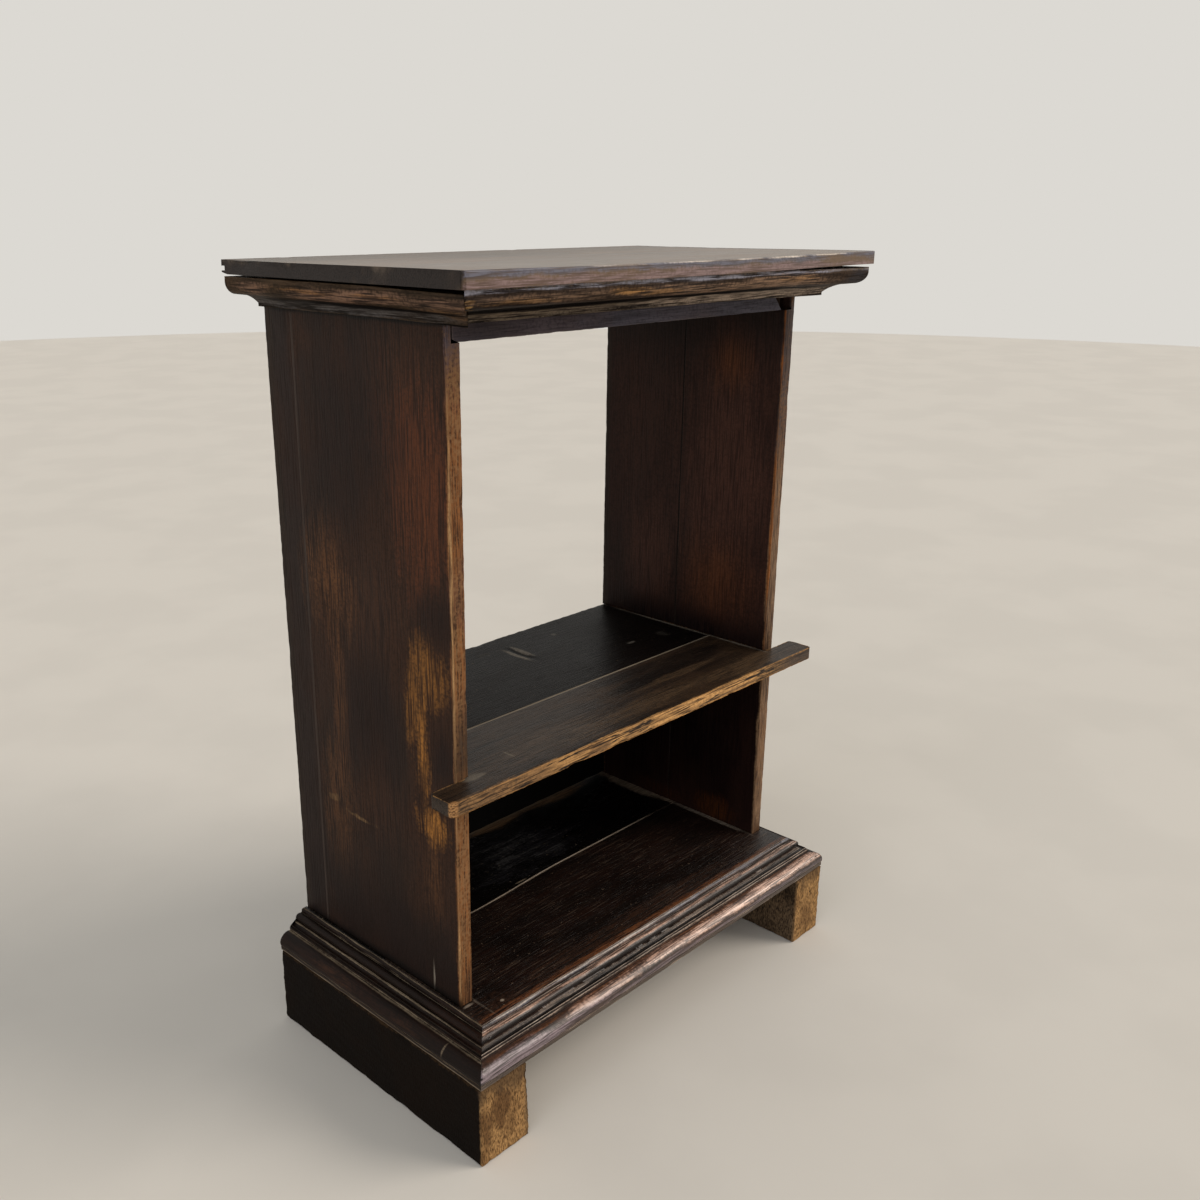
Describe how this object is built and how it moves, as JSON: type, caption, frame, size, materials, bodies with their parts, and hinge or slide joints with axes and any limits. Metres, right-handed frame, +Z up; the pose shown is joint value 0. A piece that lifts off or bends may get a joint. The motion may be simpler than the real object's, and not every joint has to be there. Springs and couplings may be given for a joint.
{
  "type": "open-shelf side table",
  "caption": "Narrow open side table: two plain sides on a moulded base and block feet, a shelf with ears in front of the sides, and a thin top over a mitred cornice.",
  "frame": {"origin": "on the floor, under the middle of the top board, which is the middle of the whole object's box", "axes": "+X to the right seen from the front, +Y to the back, +Z up"},
  "size_m": [0.653, 0.367, 0.914],
  "materials": {
    "top_oak": "satin, waxed dark oak, worn along the front arris",
    "cornice_oak": "satin dark oak with golden-brown wear",
    "rail_oak": "dull dark oak",
    "side_oak": "satin, very dark oak with orange-brown worn streaks and edges",
    "shelf_oak": "satin dark oak with a bare worn front edge",
    "deck_oak": "polished near-black and red-brown oak, dusty at the joints",
    "base_oak": "waxed dark oak with dust in the quirks",
    "foot_oak": "dull dark oak, rough tan end grain at the front",
    "packing_pine": "raw sawn softwood",
    "nail_iron": "dull dark iron"
  },
  "bodies": {
    "root": {"top_board": "top_oak", "cornice_front": "cornice_oak", "cornice_left": "cornice_oak", "cornice_right": "cornice_oak", "cornice_packing": "packing_pine", "front_rail": "rail_oak", "rear_rail": "rail_oak", "left_side_front_board": "side_oak", "left_side_rear_board": "side_oak", "right_side_front_board": "side_oak", "right_side_rear_board": "side_oak", "shelf_front_board": "shelf_oak", "shelf_rear_board": "shelf_oak", "deck_front_board": "deck_oak", "deck_rear_board": "deck_oak", "lower_back_panel": "deck_oak", "base_moulding_front": "base_oak", "base_moulding_left": "base_oak", "base_moulding_right": "base_oak", "left_foot": "foot_oak", "right_foot": "foot_oak", "left_bearer": "packing_pine", "right_bearer": "packing_pine", "front_bearer": "packing_pine", "rear_bearer": "packing_pine", "top_glue_blocks": "packing_pine", "cornice_nails": "nail_iron", "packing_nails": "nail_iron", "base_moulding_nails": "nail_iron", "side_nails": "nail_iron", "foot_nails": "nail_iron", "bearer_nails": "nail_iron", "panel_nails": "nail_iron"}
  },
  "joints": []
}
